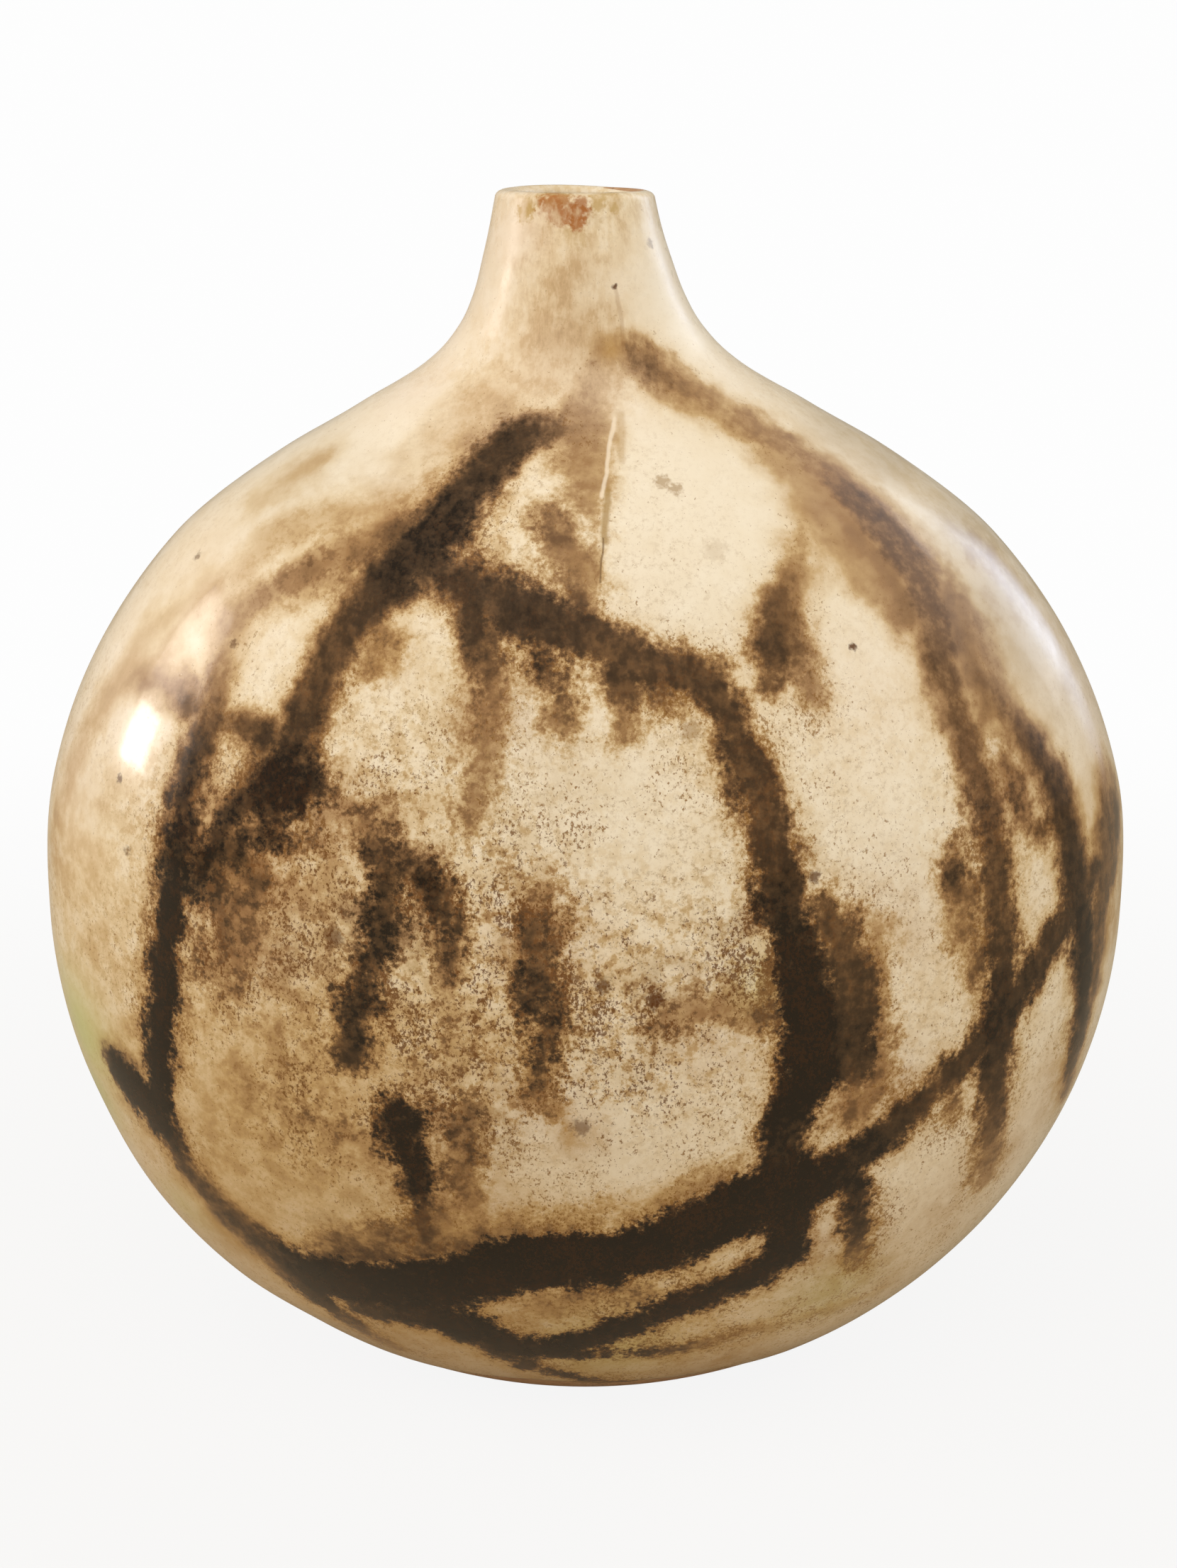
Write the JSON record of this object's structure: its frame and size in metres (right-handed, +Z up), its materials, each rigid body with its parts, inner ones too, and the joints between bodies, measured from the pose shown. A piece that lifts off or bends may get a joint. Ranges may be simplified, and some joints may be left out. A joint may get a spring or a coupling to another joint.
{
  "type": "pilgrim flask",
  "caption": "Round, flattened stoneware pilgrim flask with a short flared neck, a pale satin glaze and dark iron trails.",
  "frame": {"origin": "centre of the standing face, on the surface the flask stands on", "axes": "+X to the right across the round front, +Y from the front dish to the rear dish, +Z up"},
  "size_m": [0.2052, 0.125, 0.228],
  "materials": {
    "body_clay": "matte",
    "joining_slip": "matte",
    "pale_glaze": "satin",
    "iron_glaze": "satin",
    "liner_glaze": "gloss"
  },
  "bodies": {
    "root": {"front_dish": "body_clay", "rear_dish": "body_clay", "seam_slip": "joining_slip", "left_seam_coil": "body_clay", "right_seam_coil": "body_clay", "neck_collar": "body_clay", "neck_slip": "joining_slip", "neck_coil": "body_clay", "foot_ring": "body_clay", "foot_slip": "joining_slip", "outer_glaze": "pale_glaze", "liner_glaze": "liner_glaze", "front_trails": "iron_glaze", "rear_trails": "iron_glaze"}
  },
  "joints": []
}
